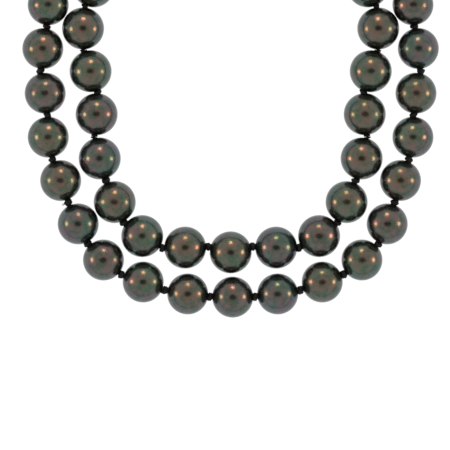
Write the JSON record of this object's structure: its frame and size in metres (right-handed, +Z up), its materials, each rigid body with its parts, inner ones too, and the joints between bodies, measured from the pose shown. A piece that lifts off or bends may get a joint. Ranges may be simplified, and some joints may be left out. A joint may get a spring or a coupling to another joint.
{
  "type": "double-strand pearl necklace",
  "caption": "Two nested strands of large dark mirror-bright pearls, silk-knotted between every pearl, closed by a two-row box clasp with a spring tongue.",
  "frame": {"origin": "on the table, under the centre of the flat-laid necklace", "axes": "+Y from the front pearls to the clasp, +X from the box side to the tongue side, +Z up from the table"},
  "size_m": [0.1226, 0.1759, 0.0123],
  "materials": {
    "pearl_graphite": "mirror-bright nacre, neutral grey overtone",
    "pearl_aubergine": "mirror-bright nacre, aubergine overtone",
    "pearl_olive": "mirror-bright nacre, green overtone",
    "silk": "twisted black silk, knotted between pearls",
    "clasp_metal": "fine satin white metal",
    "clasp_cover_metal": "polished white metal with fine engraved lines",
    "spring_metal": "bright rolled spring strip"
  },
  "bodies": {
    "front": {"inner_pearl_centre": "pearl_aubergine", "inner_pearl_left_01": "pearl_olive", "inner_pearl_left_02": "pearl_graphite", "inner_pearl_left_03": "pearl_olive", "outer_pearl_centre": "pearl_aubergine", "outer_pearl_left_01": "pearl_aubergine", "outer_pearl_left_02": "pearl_olive", "outer_pearl_left_03": "pearl_aubergine", "outer_pearl_left_04": "pearl_graphite", "outer_pearl_left_05": "pearl_graphite", "silk_inner_front": "silk", "silk_outer_front": "silk"},
    "front_right": {"inner_pearl_right_01": "pearl_graphite", "inner_pearl_right_02": "pearl_aubergine", "inner_pearl_right_03": "pearl_graphite", "outer_pearl_right_01": "pearl_olive", "outer_pearl_right_02": "pearl_graphite", "outer_pearl_right_03": "pearl_olive", "outer_pearl_right_04": "pearl_aubergine", "outer_pearl_right_05": "pearl_aubergine", "silk_inner_front_right": "silk", "silk_outer_front_right": "silk"},
    "left_mid": {"inner_pearl_left_05": "pearl_aubergine", "outer_pearl_left_06": "pearl_graphite", "outer_pearl_left_07": "pearl_aubergine", "silk_inner_left_mid": "silk", "silk_outer_left_mid": "silk"},
    "left_back": {"back_run_inner_left": "pearl_aubergine", "back_run_outer_left": "pearl_graphite", "clasp_box": "clasp_metal", "clasp_cover": "clasp_cover_metal", "clasp_ears_left": "clasp_metal", "inner_pearl_left_07": "pearl_olive", "inner_pearl_left_08": "pearl_graphite", "outer_pearl_left_08": "pearl_olive", "outer_pearl_left_09": "pearl_aubergine"},
    "left_link_low": {"inner_pearl_left_04": "pearl_aubergine", "silk_left_link_low": "silk"},
    "left_link_high": {"inner_pearl_left_06": "pearl_aubergine", "silk_left_link_high": "silk"},
    "right_mid": {"inner_pearl_right_05": "pearl_olive", "outer_pearl_right_06": "pearl_aubergine", "outer_pearl_right_07": "pearl_olive", "silk_inner_right_mid": "silk", "silk_outer_right_mid": "silk"},
    "right_back": {"back_run_inner_right": "pearl_aubergine", "back_run_outer_right": "pearl_graphite", "clasp_ears_right": "clasp_metal", "clasp_tongue": "clasp_metal", "inner_pearl_right_07": "pearl_graphite", "inner_pearl_right_08": "pearl_aubergine", "outer_pearl_right_08": "pearl_graphite", "outer_pearl_right_09": "pearl_olive"},
    "right_link_low": {"inner_pearl_right_04": "pearl_olive", "silk_right_link_low": "silk"},
    "right_link_high": {"inner_pearl_right_06": "pearl_olive", "silk_right_link_high": "silk"},
    "spring_leaf": {"clasp_spring_leaf": "spring_metal"}
  },
  "joints": [
    {"name": "clasp_release", "type": "hinge", "parent": "front", "child": "front_right", "pos_m": [0.00726, -0.08195, 0.006], "axis": [0, 0, -1], "range_deg": [0, 4.7]},
    {"name": "fold_low_left", "type": "hinge", "parent": "front", "child": "left_mid", "pos_m": [0, -0.04134, 0.006], "axis": [1, 0, 0], "range_deg": [-20, 20]},
    {"name": "fold_high_left", "type": "hinge", "parent": "left_mid", "child": "left_back", "pos_m": [0, -0.01526, 0.006], "axis": [1, 0, 0], "range_deg": [-20, 20]},
    {"name": "link_low_left", "type": "hinge", "parent": "front", "child": "left_link_low", "pos_m": [-0.03682, -0.04769, 0.00615], "axis": [1, 0, 0], "range_deg": [-10, 10]},
    {"name": "link_high_left", "type": "hinge", "parent": "left_mid", "child": "left_link_high", "pos_m": [-0.03911, -0.02156, 0.00615], "axis": [1, 0, 0], "range_deg": [-10, 10]},
    {"name": "fold_low_right", "type": "hinge", "parent": "front_right", "child": "right_mid", "pos_m": [0, -0.04134, 0.006], "axis": [1, 0, 0], "range_deg": [-20, 20]},
    {"name": "fold_high_right", "type": "hinge", "parent": "right_mid", "child": "right_back", "pos_m": [0, -0.01526, 0.006], "axis": [1, 0, 0], "range_deg": [-20, 20]},
    {"name": "link_low_right", "type": "hinge", "parent": "front_right", "child": "right_link_low", "pos_m": [0.03682, -0.04769, 0.00615], "axis": [1, 0, 0], "range_deg": [-10, 10]},
    {"name": "link_high_right", "type": "hinge", "parent": "right_mid", "child": "right_link_high", "pos_m": [0.03911, -0.02156, 0.00615], "axis": [1, 0, 0], "range_deg": [-10, 10]},
    {"name": "spring_leaf_press", "type": "hinge", "parent": "right_back", "child": "spring_leaf", "pos_m": [-0.0052, 0.0753, 0.0025], "axis": [0, 1, 0], "range_deg": [0, 4.5], "stiffness_Nm_per_rad": 0.5}
  ],
  "couplings": [
    {"joint": "fold_low_right", "follows": "fold_low_left", "ratio": 1},
    {"joint": "link_low_left", "follows": "fold_low_left", "ratio": 0.5},
    {"joint": "link_low_right", "follows": "fold_low_left", "ratio": 0.5},
    {"joint": "fold_high_right", "follows": "fold_high_left", "ratio": 1},
    {"joint": "link_high_left", "follows": "fold_high_left", "ratio": 0.5},
    {"joint": "link_high_right", "follows": "fold_high_left", "ratio": 0.5}
  ]
}
